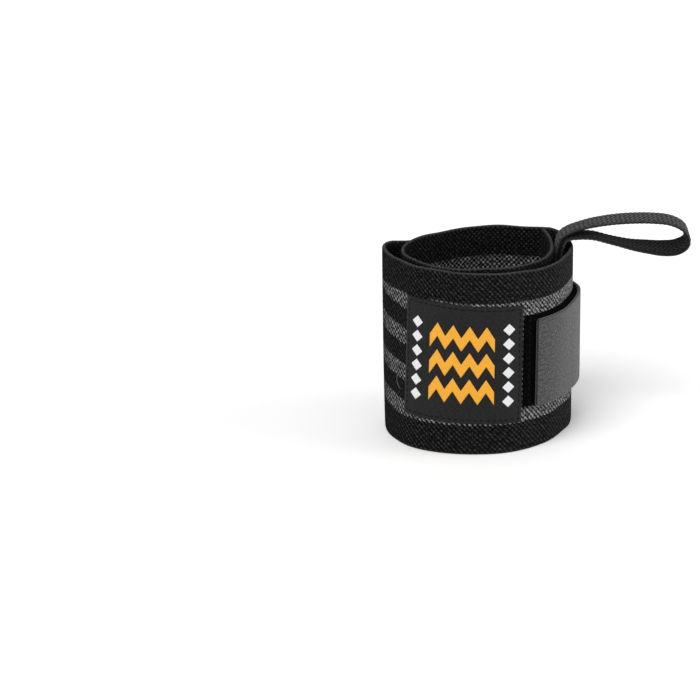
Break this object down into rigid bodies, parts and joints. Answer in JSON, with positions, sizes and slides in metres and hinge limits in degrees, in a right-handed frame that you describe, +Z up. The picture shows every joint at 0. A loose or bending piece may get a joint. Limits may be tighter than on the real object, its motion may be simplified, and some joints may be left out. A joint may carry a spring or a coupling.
{
  "type": "wrist wrap",
  "caption": "Rolled-up elastic wrist wrap standing on its edge, with a thumb loop, a sewn label and a hook closure tab over a pile patch.",
  "frame": {"origin": "middle of the whole wrap's footprint, on the surface that the rolled strap's lower edge stands on", "axes": "+Z up along the roll, +X towards the thumb loop, -Y towards the label"},
  "size_m": [0.127, 0.0748, 0.0879],
  "materials": {
    "knit_elastic": "coarse knit, black with grey speckle",
    "label_satin": null,
    "pile_velvet": "brushed pile",
    "hook_tape": "fine matt weave",
    "loop_elastic": "herringbone braid"
  },
  "bodies": {
    "root": {"strap": "knit_elastic", "label": "label_satin", "pile_patch": "pile_velvet", "closure_tab": "hook_tape", "thumb_loop": "loop_elastic"}
  },
  "joints": []
}
